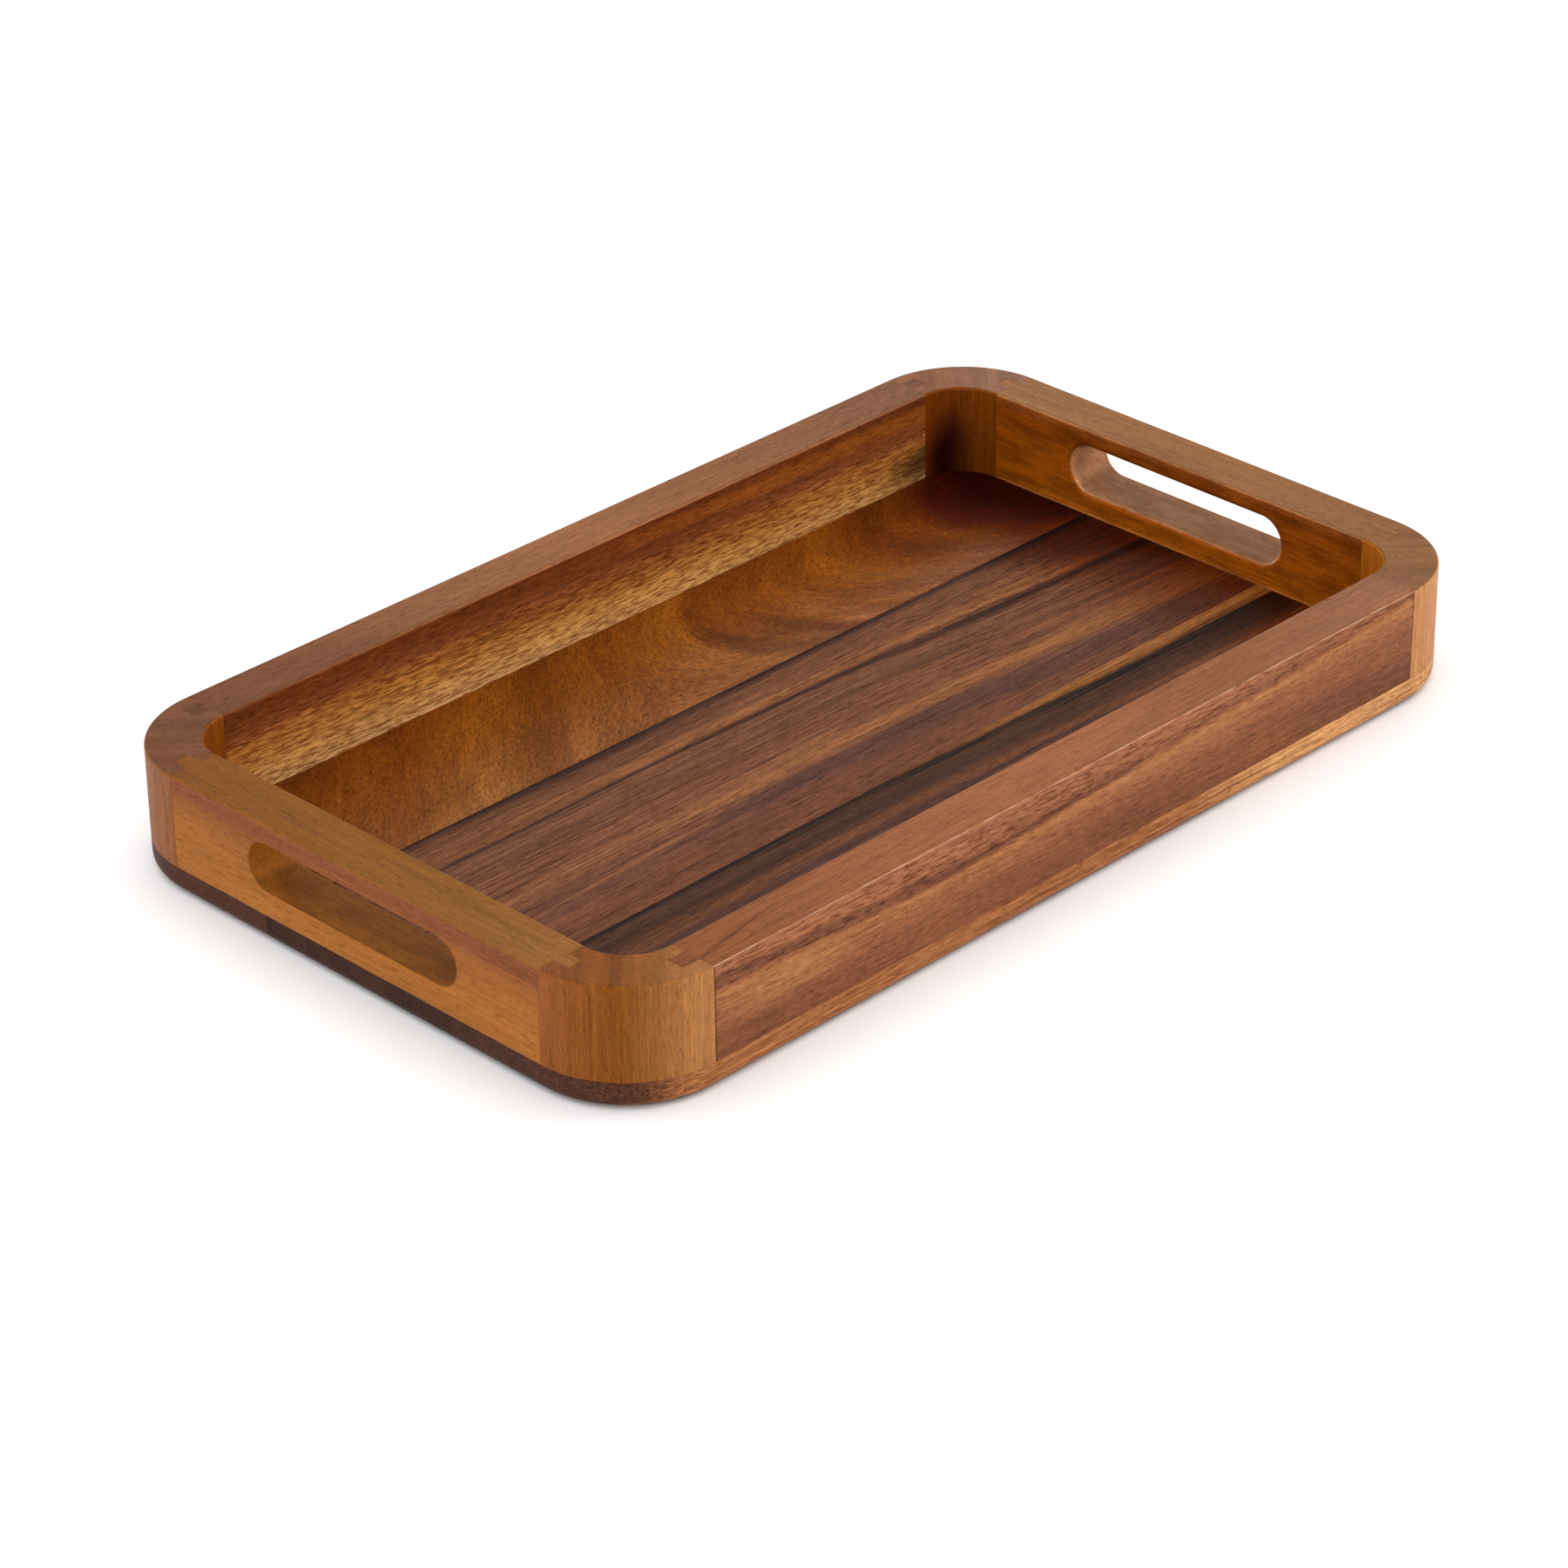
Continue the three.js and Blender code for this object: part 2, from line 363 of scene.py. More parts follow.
def cut(piece, cutter):
    """Takes the cutter out of the piece for good, and removes the cutter."""
    modifier = piece.modifiers.new("slot", "BOOLEAN")
    modifier.object = cutter
    modifier.operation = "DIFFERENCE"
    modifier.solver = "EXACT"
    bpy.context.view_layer.update()
    graph = bpy.context.evaluated_depsgraph_get()
    result = bpy.data.meshes.new_from_object(piece.evaluated_get(graph))
    piece.modifiers.clear()
    piece.data = result
    bpy.data.objects.remove(cutter)


def smooth(piece):
    """Soft shading over the rounded edges, with the broad faces kept flat."""
    piece.data.polygons.foreach_set("use_smooth", [True] * len(piece.data.polygons))
    piece.data.set_sharp_from_angle(angle=SHARP_ANGLE)
    modifier = piece.modifiers.new("flat_faces", "WEIGHTED_NORMAL")
    modifier.keep_sharp = True
    modifier.weight = 100  # the broad faces decide


# ---------- shader graphs ----------

BLACKEST = 0.0008  # no colour that is typed in comes out darker than this, in linear light
LEAST_SPAN = 1e-6  # lets a curve be level all the way


def srgb(red, green, blue, sheen=0.0):
    """The wood's own linear colour, from how it looks on a screen, 0 to 255.

    sheen is the part of that look that the oiled face mirrors.
    """

    def linear(value):
        part = value / 255
        return part / 12.92 if part <= 0.04045 else ((part + 0.055) / 1.055) ** 2.4

    return (*(max(BLACKEST, linear(value) - sheen) for value in (red, green, blue)), 1.0)


class Graph:
    """A material's nodes, with the few operations that these woods need."""

    def __init__(self, name):
        self.material = bpy.data.materials.new(name)
        self.material.use_nodes = True
        self.tree = self.material.node_tree
        self.tree.nodes.clear()

    def feed(self, socket, value):
        if isinstance(value, bpy.types.NodeSocket):
            self.tree.links.new(value, socket)
        else:
            socket.default_value = value

    def node(self, kind, inputs=None, **settings):
        made = self.tree.nodes.new("ShaderNode" + kind)
        for key, value in settings.items():
            setattr(made, key, value)
        for key, value in (inputs or {}).items():
            self.feed(made.inputs[key], value)
        return made

    def math(self, operation, *values, clamp=False):
        made = self.node("Math", operation=operation, use_clamp=clamp)
        for socket, value in zip(made.inputs, values):
            self.feed(socket, value)
        return made.outputs[0]

    def add(self, *values):
        total = values[0]
        for value in values[1:]:
            total = self.math("ADD", total, value)
        return total

    def less(self, value, other):
        return self.math("SUBTRACT", value, other)

    def scaled(self, value, factor):
        return self.math("MULTIPLY", value, factor)

    def remap(self, value, low, high, to_low=0.0, to_high=1.0, soft=True):
        made = self.node("MapRange", interpolation_type="SMOOTHSTEP" if soft else "LINEAR")
        numbers = (value, low, high, to_low, to_high)
        for key, number in zip(("Value", "From Min", "From Max", "To Min", "To Max"), numbers):
            self.feed(made.inputs[key], number)
        return made.outputs[0]

    def position(self):
        """x, y and z on the tray, in millimetres."""
        place = self.node("TexCoord").outputs["Object"]
        in_mm = self.node("VectorMath", {0: place, "Scale": 1 / MM}, operation="SCALE")
        return self.node("SeparateXYZ", {0: in_mm.outputs[0]}).outputs

    def normal(self):
        return self.node("SeparateXYZ", {0: self.node("NewGeometry").outputs["Normal"]}).outputs

    def noise(self, place, sizes, detail=2.0, roughness=0.5, seed=0.0):
        """Noise about 0 to 1, whose blobs measure these sizes in millimetres."""
        scaled = [self.math("MULTIPLY_ADD", p, 1 / s, seed) for p, s in zip(place, sizes)]
        vector = self.node("CombineXYZ", dict(enumerate(scaled))).outputs[0]
        settings = {"Vector": vector, "Scale": 1.0, "Detail": detail, "Roughness": roughness}
        return self.node("TexNoise", settings).outputs[0]

    def curve(self, value, points):
        """A smooth line through given (value, result) points, in millimetres."""
        low, high = points[0][0], points[-1][0]
        least = min(y for _, y in points)
        span = max(max(y for _, y in points) - least, LEAST_SPAN)
        made = self.node("FloatCurve", {"Value": self.remap(value, low, high, soft=False)})
        line = made.mapping.curves[0]
        for i, (x, y) in enumerate(points):
            spot = ((x - low) / (high - low), (y - least) / span)
            if i == 0:
                line.points[0].location = spot
            elif i == len(points) - 1:
                line.points[-1].location = spot
            else:
                line.points.new(*spot)
        made.mapping.update()
        return self.math("MULTIPLY_ADD", made.outputs[0], span, least)

    def ramp(self, value, stops, sheen=0.0):
        """Colours at given places, in millimetres along value."""
        low, high = stops[0][0], stops[-1][0]
        made = self.node("ValToRGB", {0: self.remap(value, low, high, soft=False)})
        elements = made.color_ramp.elements
        for i, (place, colour) in enumerate(stops):
            spot = (place - low) / (high - low)
            element = elements[0] if i == 0 else elements.new(spot)
            if i == 0:
                elements.remove(elements[1])
                element.position = spot
            element.color = srgb(*colour, sheen)
        return made.outputs[0]

    def mix(self, factor, first, second, blend="MIX"):
        made = self.node("Mix", data_type="RGBA", blend_type=blend, clamp_factor=True)
        self.feed(made.inputs[0], factor)
        self.feed(made.inputs[6], first)
        self.feed(made.inputs[7], second)
        return made.outputs[2]

    def stained(self, share, colour, tint):
        """The colour multiplied by a tint, as far as share goes from 0 to 1."""
        return self.mix(share, colour, (*tint, 1), "MULTIPLY")

    def shade(self, colour, brightness):
        """The colour made brighter or darker by a number about 1."""
        plain = colour if isinstance(colour, bpy.types.NodeSocket) else colour[:3]
        vector = self.node("VectorMath", {0: plain, "Scale": brightness}, operation="SCALE")
        return vector.outputs[0]


def between(g, value, low, high, fade):
    """1 between two places, fading to 0 outside them."""
    rise = g.remap(value, low - fade, low + fade)
    fall = g.remap(value, high - fade, high + fade, 1.0, 0.0)
    return g.scaled(rise, fall)


def stroke(g, along, across, centre, half_width, reach):
    """1 on a soft line drawn across the grain coordinate, through (along, across) points.

    half_width grows from its first to its second number, and reach is (start, end, fade).
    """
    start, end, fade = reach
    away = g.math("ABSOLUTE", g.less(across, g.curve(along, centre)))
    width = g.remap(along, start, end, *half_width, soft=False)
    body = g.remap(g.math("DIVIDE", away, width), 0.3, 1.5, 1.0, 0.0)
    return g.scaled(body, between(g, along, start, end, fade))


def painted(g, colour, along, across, strokes):
    """The colour under strokes of (paint, strength, centre, half width, reach)."""
    for paint, strength, centre, half_width, reach in strokes:
        mask = stroke(g, along, across, centre, half_width, reach)
        colour = g.mix(g.scaled(mask, strength), colour, paint)
    return colour


def facing(g, axis, low=0.5, high=0.95):
    """1 where the surface faces along an axis, either way, and 0 where it does not."""
    return g.remap(g.math("ABSOLUTE", g.normal()["XYZ".index(axis)]), low, high)


def wobble(g, place, sizes, height, seed):
    """A slow wave about zero, in millimetres, so that no line of the grain is straight."""
    return g.scaled(g.less(g.noise(place, sizes, seed=seed), 0.5), height)


def feather(g, place, height, seed):
    """Fine long teeth about zero, in millimetres, that fray the edge of a band."""
    teeth = g.noise(place, (110, 1.5, 1.5), detail=3, roughness=0.68, seed=seed)
    return g.scaled(g.less(teeth, 0.5), height)


DIMMEST, BRIGHTEST = 0.3, 1.6  # how dark and how light a fibre gets, over the wood's mean
DIMMEST_TINT = (0.22, 0.15, 0.13)
DASH_TINT = (0.40, 0.27, 0.22)
PORE_TINT = (0.30, 0.18, 0.14)
ROUGHNESS = 0.5
BUMP_DEPTH = 0.0001  # in metres


def tinted(g, colour, light):
    """The colour made lighter or darker, where darker wood is also redder."""
    share = g.remap(light, DIMMEST, BRIGHTEST, soft=False)
    made = g.node("ValToRGB", {0: share})
    low, high = made.color_ramp.elements
    low.color = (*DIMMEST_TINT, 1)
    high.color = (1, 1, 1, 1)
    middle = made.color_ramp.elements.new((1 - DIMMEST) / (BRIGHTEST - DIMMEST))
    middle.color = (*[1 / BRIGHTEST] * 3, 1)
    return g.shade(g.mix(1.0, colour, made.outputs[0], "MULTIPLY"), BRIGHTEST)


def wood(g, colour, place, seed, light, fibre=1.1, streak=1.0, cloud=0.4, speckle=0.7,
         dash=(10, 0.95), dash_depth=0.5, dash_share=0.5, pore_depth=0.6):
    """Finishes a wood: its light, fibres, dashes, pores, oiled sheen and fine relief.

    place is (along the grain, across it, across it), and dash is a dash's length and width,
    in millimetres. light is the gain on upright faces and on level ones.
    """
    long_dash, wide_dash = dash
    fine = g.noise(place, (34, 1.0, 1.0), detail=3, roughness=0.65, seed=seed)
    broad = g.noise(place, (150, 1.6, 1.6), detail=4, roughness=0.62, seed=seed + 7)
    patches = g.noise(place, (60, 16, 16), detail=2, seed=seed + 13)
    grit = g.noise(place, (3.2, 0.9, 0.9), detail=1.5, seed=seed + 17)
    flecks = g.noise(place, (long_dash, wide_dash, wide_dash), detail=1.5, seed=seed + 23)
    holes = g.noise(place, (5.0, 0.55, 0.55), detail=1, seed=seed + 31)

    parts = [(fine, fibre), (broad, streak), (patches, cloud), (grit, speckle)]
    shade = g.add(*[g.scaled(g.less(part, 0.5), share) for part, share in parts], 1.0)
    upright, level = light
    colour = g.shade(colour, g.remap(facing(g, "Z"), 0, 1, upright, level))
    colour = tinted(g, colour, shade)
    threshold = 0.62 - 0.2 * dash_share
    dashes = g.remap(flecks, threshold, threshold + 0.16)
    colour = g.stained(g.scaled(dashes, dash_depth), colour, DASH_TINT)
    pores = g.remap(holes, 0.60, 0.70)
    colour = g.stained(g.scaled(pores, pore_depth), colour, PORE_TINT)

    height = g.add(g.scaled(pores, -1.0), g.scaled(dashes, -0.35), g.scaled(fine, 0.8))
    bump = g.node("Bump", {"Strength": 0.35, "Distance": BUMP_DEPTH, "Height": height})
    rough = g.add(ROUGHNESS, g.scaled(g.less(fine, 0.5), 0.20), g.scaled(pores, 0.12))
    shader = g.node("BsdfPrincipled", {
        "Base Color": colour,
        "Roughness": rough,
        "Normal": bump.outputs[0],
        "IOR": 1.45,
        "Specular IOR Level": 0.09,
    })
    output = g.node("OutputMaterial")
    g.feed(output.inputs["Surface"], shader.outputs[0])
    return g.material


# ---------- the woods, one for each piece ----------
# In each of them, s runs across the bands of the grain. Stops, strokes and the sizes of noise
# are in millimetres on the tray, and colours are as they look on a screen, 0 to 255.

SHEEN = 0.012  # what an oiled face mirrors of the studio, in linear light
LOW_SHEEN = 0.006  # the same on the back board and on the base's end grain

# How each wood makes up for the light on it: a gain on its upright faces, one on its level ones.
LIGHT = {
    "front_rail": (0.90, 0.70),
    "back_rail": (1.50, 0.69),
    "left_handle": (0.94, 0.70),
    "right_handle": (1.60, 0.69),
    "middle": (0.75, 0.745),
    "front": (1.25, 0.72),
    "back": (0.75, 0.85),
}
# The gain on a rail's other upright face, where that looks outwards and where it looks inwards.
OUTER_LIGHT, INNER_LIGHT = 0.92, 1.50

STRIPED_GRAIN = {"fibre": 2.0, "streak": 1.6, "dash": (9, 0.8), "dash_share": 0.65}


def rail_section(g, z, inwards, thickness):
    """Depth below the rim on either face of a rail, going on as the way in along its top."""
    nearest = g.math("MINIMUM", inwards, g.less(thickness, inwards))
    return g.add(g.less(z, RIM_Z / MM), nearest)


def rail_light(g, name, axis, other_face):
    """The rail's light, with another gain on the face that looks along +X or +Y."""
    upright, level = LIGHT[name]
    facing_along = g.normal()["XYZ".index(axis)]
    return g.remap(facing_along, -0.5, 0.5, upright, other_face), level


def rail_colour(g, section, face, top):
    """A rail's upright face and its top, parted at the arris between them."""
    return g.mix(g.remap(section, -1.0, 0.4), face, top)


def by_face(g, section, on_face, on_top):
    """One amount on a rail's upright face and another on its top."""
    return g.remap(section, -1.6, -0.6, on_face, on_top)


def darker_tongues(g, top, x, darkness):
    """A long rail's top, darker on the tongues at its two ends."""
    shoulder = LONG_SHOULDER_X / MM
    on_tongue = g.remap(g.math("ABSOLUTE", x), shoulder, shoulder + 0.4)
    return g.shade(top, g.remap(on_tongue, 0, 1, 1.0, darkness))


def front_rail_wood():
    """Salmon brown with a fine dark line that slants along its face, and a painted highlight along
    its outer arris.
    """
    g = Graph("acacia_front_rail")
    place = g.position()
    x, y, z = place
    inwards = g.add(y, HALF_WIDTH / MM)
    section = rail_section(g, z, inwards, (HALF_WIDTH - WELL_Y) / MM)
    line = g.curve(x, [
        (-210, -12), (-150, -15), (-68, -17), (0, -14.5), (85, -11), (150, -7.5), (210, -4),
    ])
    waves = wobble(g, place, (60, 9, 9), 2.0, 3)
    s = g.add(g.less(section, line), waves, feather(g, place, 2.2, 4))
    face = g.ramp(s, [
        (-40, (124, 78, 52)), (-27, (134, 83, 57)), (-18, (138, 86, 60)), (-12, (146, 91, 64)),
        (-7, (156, 99, 67)), (-3, (168, 109, 71)), (-0.5, (178, 118, 74)), (1.0, (164, 105, 68)),
        (2.6, (142, 89, 62)), (4.5, (154, 98, 68)), (8, (166, 107, 74)), (14, (170, 110, 78)),
    ], SHEEN)
    dark, plum = srgb(100, 60, 46, SHEEN), srgb(98, 64, 60, SHEEN)
    left_streak = [(-206, -6.5), (-160, -9), (-100, -12), (-60, -14)]
    face = painted(g, face, x, section, [
        (dark, 0.5, left_streak, (2.4, 1.6), (-240, -70, 30)),
        (dark, 0.4, [(-70, -15), (0, -12.5), (40, -11)], (1.4, 1.4), (-110, 30, 30)),
        (plum, 0.4, [(100, -32), (215, -35)], (4, 6), (140, 240, 25)),
    ])
    # A painted highlight: a lighter patch low on the face, near its left end.
    glow = g.scaled(between(g, x, -196, -135, 22), between(g, section, -27, -18, 5))
    face = g.mix(g.scaled(glow, 0.45), face, srgb(196, 136, 84, SHEEN))
    shoulder = LONG_SHOULDER_X / MM
    joint = g.remap(g.math("ABSOLUTE", x), shoulder - 0.9, shoulder - 0.3)
    face = g.mix(g.scaled(joint, 0.75), face, srgb(64, 34, 24))
    top = g.ramp(x, [
        (-205, (148, 90, 54)), (-120, (160, 100, 65)), (0, (165, 104, 69)),
        (100, (156, 100, 67)), (205, (155, 104, 77)),
    ], SHEEN)
    slanted = g.add(y, feather(g, place, 2.5, 5))
    dark_grain = srgb(96, 56, 38, SHEEN)
    top = painted(g, top, x, slanted, [
        (dark_grain, 0.6, [(-214, -145), (-190, -140), (-150, -134)], (1.4, 0.5), (-212, -158, 16)),
    ])
    top = darker_tongues(g, top, x, 0.82)
    colour = rail_colour(g, section, face, top)
    striped = g.scaled(g.remap(s, -2, 3, 0.10, 0.85), by_face(g, section, 1.0, 0.16))
    # A painted highlight: a broken pale line along the outer top arris.
    arris = g.scaled(between(g, section, -0.25, 0.25, 0.2), g.remap(inwards, 5, 3))
    painted_highlight = g.scaled(arris, g.noise(place, (9, 3, 3), seed=6))
    colour = g.mix(g.remap(painted_highlight, 0.25, 0.6, 0.0, 0.8), colour, srgb(226, 196, 176))
    slope = g.add(z, g.scaled(x, 0.03))
    speckle = by_face(g, section, 0.95, 0.35)
    light = rail_light(g, "front_rail", "Y", INNER_LIGHT)
    return wood(g, colour, (x, y, slope), 3.1, light, streak=0.7, speckle=speckle,
                dash=(8, 0.7), dash_depth=striped, dash_share=0.7, pore_depth=0.45)


def back_rail_wood():
    """Dark brown above and straw below, with many short dark dashes in the straw."""
    g = Graph("acacia_back_rail")
    place = g.position()
    x, y, z = place
    section = rail_section(g, z, g.less(y, WELL_Y / MM), (HALF_WIDTH - WELL_Y) / MM)
    line = g.curve(x, [(-210, -15), (-100, -14), (0, -16), (60, -18), (130, -19), (210, -17)])
    waves = wobble(g, place, (50, 8, 8), 4.0, 5)
    s = g.add(g.less(section, line), waves, feather(g, place, 3.0, 6))
    face = g.ramp(s, [
        (-28, (186, 144, 96)), (-24, (184, 140, 84)), (-18, (182, 134, 73)), (-12, (172, 120, 58)),
        (-7, (164, 108, 48)), (-2.5, (150, 92, 42)), (0.5, (128, 72, 36)), (4, (110, 59, 29)),
        (9, (102, 52, 22)), (14, (96, 46, 16)),
    ])
    brown, amber, corner_shade = srgb(116, 66, 32), srgb(152, 84, 26), srgb(40, 16, 4)
    # The last stroke is painted shadow, low on the right end of the inner face, by the far corner.
    face = painted(g, face, x, section, [
        (brown, 0.45, [(-204, -19), (-60, -20), (60, -22)], (4, 6), (-70, 70, 40)),
        (amber, 0.50, [(-40, -4), (100, -8), (204, -9)], (3, 6), (20, 260, 50)),
        (corner_shade, 0.80, [(150, -38), (204, -32)], (6, 17), (187, 260, 16)),
    ])
    top = g.ramp(x, [
        (-205, (124, 80, 54)), (-150, (132, 85, 57)), (-80, (150, 99, 66)), (0, (160, 107, 70)),
        (80, (153, 101, 67)), (160, (145, 98, 68)), (205, (138, 94, 68)),
    ], SHEEN)
    top = darker_tongues(g, top, x, 0.80)
    colour = rail_colour(g, section, face, top)
    striped = g.scaled(g.remap(s, -1, 3, 0.86, 0.4), by_face(g, section, 1.0, 0.3))
    light = rail_light(g, "back_rail", "Y", OUTER_LIGHT)
    return wood(g, colour, place, 5.3, light, streak=0.6, speckle=by_face(g, section, 0.8, 0.4),
                dash=(7, 0.66), dash_depth=striped, dash_share=0.85)


def handle_rail_wood(name, side, face_stops, top_stops, slot_colour, seed):
    """Plain brown, with its grain along Y. side is -1 for the left rail, 1 for the right one."""
    g = Graph("acacia_handle_" + name)
    x, y, z = g.position()
    place = (y, x, z)
    inwards = g.add(x, HALF_LENGTH / MM) if side < 0 else g.less(x, WELL_X / MM)
    section = rail_section(g, z, inwards, (HALF_LENGTH - WELL_X) / MM)
    s = g.add(section, wobble(g, place, (60, 8, 8), 5.0, seed), feather(g, place, 2.0, seed))
    face = g.ramp(s, face_stops, SHEEN if side < 0 else 0)
    bottom = (BASE_Z - RIM_Z) / MM
    foot = between(g, section, bottom + 0.3, bottom + 1.1, 0.3)
    face = g.mix(g.scaled(foot, 0.5), face, srgb(150, 98, 54))
    top = g.ramp(y, top_stops, SHEEN)
    # The right rail's outer face takes its top's colours, since its upright colours carry painted
    # shade of its inner face.
    if side > 0:
        face = g.mix(g.remap(g.normal()["X"], 0.3, 0.7, 0.0, 0.9), face, top)
    colour = rail_colour(g, section, face, top)

    # The slot takes its own colour; on the right rail that colour is partly a painted reflection of
    # the bright floor outside.
    below_rim = g.remap(z, RIM_Z / MM - 4, RIM_Z / MM - 6)
    in_slot = g.scaled(g.remap(facing(g, "X"), 0, 1, 1.0, 0.0), below_rim)
    mottle = g.remap(g.noise(place, (16, 7, 7), detail=3, seed=seed + 3), 0.3, 0.7, 0.84, 1.18)
    colour = g.mix(g.scaled(in_slot, 0.9), colour, g.shade(srgb(*slot_colour), mottle))

    depth = (20, 23) if side < 0 else (4, 1)
    inner_face = g.scaled(facing(g, "X"), g.remap(inwards, *depth))
    gold = g.noise(place, (22, 5, 5), detail=4, roughness=0.62, seed=seed + 9)
    glow = g.remap(gold, 0.34, 0.66, 0.74, 1.26)
    colour = g.shade(colour, g.remap(inner_face, 0, 1, 1.0, glow, soft=False))
    light = rail_light(g, name + "_handle", "X", INNER_LIGHT if side < 0 else OUTER_LIGHT)
    return wood(g, colour, place, seed, light, fibre=0.9, streak=0.6, speckle=0.5,
                dash=(6, 0.7), dash_depth=0.14, pore_depth=0.4)


def corner_wood(name, side_x, side_y, light, inside_shade, stops, seed):
    """The grain stands upright, and its rings run out towards the corner.

    inside_shade is painted shade on the inner face: a tint that darkens and saturates it, and how
    strong the painted shadow at its foot is by each of the two rails.
    """
    g = Graph(name)
    x, y, z = g.position()
    place = (z, x, y)
    out_x, out_y = g.scaled(x, side_x), g.scaled(y, side_y)
    off_diagonal = g.less(g.less(out_x, out_y), (HALF_LENGTH - HALF_WIDTH) / MM)
    across = g.scaled(off_diagonal, 1 / math.sqrt(2))
    outwards = g.scaled(g.add(out_x, out_y), 1 / math.sqrt(2))
    ringed = (z, across, outwards)
    s = g.add(across, wobble(g, place, (60, 12, 12), 6.0, seed), feather(g, place, 4.0, seed))
    colour = g.ramp(s, stops, SHEEN)
    rings = g.noise(ringed, (90, 2.6, 45), detail=3, seed=seed + 2)
    colour = g.shade(colour, g.remap(rings, 0.3, 0.7, 0.90, 1.10, soft=False))
    bands = g.noise(ringed, (90, 9, 120), detail=2, roughness=0.6, seed=seed + 4)
    banded = g.remap(bands, 0.36, 0.64, 0.86, 1.12)
    colour = g.mix(facing(g, "Z"), colour, g.shade(colour, banded))

    tint, long_rail_shade, handle_rail_shade = inside_shade
    normal_x, normal_y, _ = g.normal()
    outside = g.add(g.scaled(normal_x, side_x), g.scaled(normal_y, side_y))
    inside = g.remap(outside, -0.3, -0.8)
    # Painted shade: the inner face tinted darker and more saturated, with a painted shadow at its
    # foot.
    shaded_inside = g.stained(1.0, colour, tint)
    blotch = wobble(g, ringed, (24, 14, 30), 12.0, seed + 5)
    hollow = g.scaled(between(g, across, -8, 0, 5), -8)
    low = g.remap(g.add(z, blotch, hollow), 44, 22)
    shadow = g.scaled(low, g.remap(across, -8, 12, long_rail_shade, handle_rail_shade))
    shadow = g.scaled(shadow, g.remap(across, -16, -10, 0.45, 1.0))
    shaded_inside = g.stained(shadow, shaded_inside, (0.12, 0.03, 0.02))
    colour = g.mix(inside, colour, shaded_inside)
    return wood(g, colour, place, seed, light, fibre=0.8, streak=0.5, cloud=0.3, speckle=0.5,
                dash=(8, 0.7), dash_depth=0.2, pore_depth=0.4)


def middle_board_wood():
    """Walnut brown stripes that lean a little towards the front as they run to the right."""
    g = Graph("acacia_base_middle")
    place = g.position()
    x, y, z = place
    drift = g.curve(x, [(-250, 0), (0, 0), (105, -5), (160, -9), (250, -14)])
    lean = g.scaled(drift, between(g, y, -22, 30, 14))
    frayed = g.add(y, feather(g, place, 3.4, 6))
    s = g.add(g.less(frayed, lean), wobble(g, place, (110, 10, 10), 4.0, 7))
    colour = g.ramp(s, [
        (-56, (112, 70, 48)), (-50, (122, 77, 54)), (-44, (116, 73, 52)), (-38, (122, 77, 54)),
        (-33, (118, 75, 56)), (-26, (114, 74, 57)), (-20, (116, 75, 55)), (-15, (138, 90, 61)),
        (-10, (140, 91, 61)), (-5.5, (136, 88, 60)), (-4.6, (114, 74, 52)), (-3.6, (128, 83, 58)),
        (2, (128, 83, 57)), (7, (124, 81, 57)), (11, (122, 80, 57)), (15, (118, 78, 57)),
        (21, (124, 82, 60)), (25.2, (117, 77, 57)), (26.3, (78, 52, 42)), (27.2, (90, 58, 46)),
        (28.4, (124, 80, 54)), (32, (132, 86, 57)), (37, (124, 81, 56)), (42, (118, 77, 54)),
        (45.5, (113, 74, 54)), (47.5, (99, 66, 51)), (50.5, (60, 42, 36)),
    ], SHEEN)
    dark, plum = srgb(52, 36, 30, SHEEN), srgb(88, 60, 54, SHEEN)
    gold = srgb(162, 106, 64, SHEEN)
    long_line = [(-250, 27.4), (-89, 27.6), (20, 25.8), (105, 19.5), (226, 14.5)]
    plum_band = [(-80, -25), (0, -27), (60, -29), (120, -35), (226, -42)]
    gold_band = [(-181, 38), (-60, 32.5), (60, 30), (140, 26), (226, 21)]
    flow = g.add(frayed, wobble(g, place, (70, 6, 6), 2.0, 8))
    colour = painted(g, colour, x, flow, [
        (dark, 0.75, long_line, (0.6, 3.0), (-60, 300, 90)),
        (dark, 0.35, [(0, 14), (70, 8), (140, -1.5), (226, -8)], (1.0, 2.2), (30, 300, 30)),
        (plum, 0.60, plum_band, (4, 9), (-60, 210, 30)),
        (gold, 0.55, [(-120, -14), (0, -15), (100, -19), (226, -29)], (3, 6), (-90, 240, 40)),
        (gold, 0.40, gold_band, (2, 4), (-120, 240, 40)),
        (dark, 0.18, [(-181, 11), (60, 11)], (3, 3), (-150, 30, 40)),
        (gold, 0.35, [(-226, -28), (-150, -25), (-60, -19.5)], (0.8, 1.4), (-210, -70, 20)),
    ])
    colour = inked(g, colour, place, between(g, s, 47.5, 54, 2.0), 0.5, 15)
    # Painted shade by the right wall and in the far corner, and dark end grain.
    colour = base_shade_and_end_grain(g, colour, x, y)
    return wood(g, colour, (x, g.less(y, lean), z), 7.7, LIGHT["middle"], **STRIPED_GRAIN)


def base_shade_and_end_grain(g, colour, x, y):
    """Paints shade on a board's top towards the right wall and the far corner, where the walls
    shade it, and darkens its end grain.
    """
    level = facing(g, "Z")
    painted_wall_shade = g.scaled(g.remap(x, 150, 204), level)
    colour = g.stained(painted_wall_shade, colour, (0.60, 0.33, 0.07))
    painted_corner_shade = g.scaled(g.remap(g.add(x, y), 185, 240), level)
    colour = g.stained(painted_corner_shade, colour, (0.42, 0.22, 0.10))
    ends = g.scaled(facing(g, "X", 0.25, 0.7), g.remap(x, -20, 20, 0.88, 0.4))
    return g.mix(ends, colour, srgb(64, 42, 36, LOW_SHEEN))


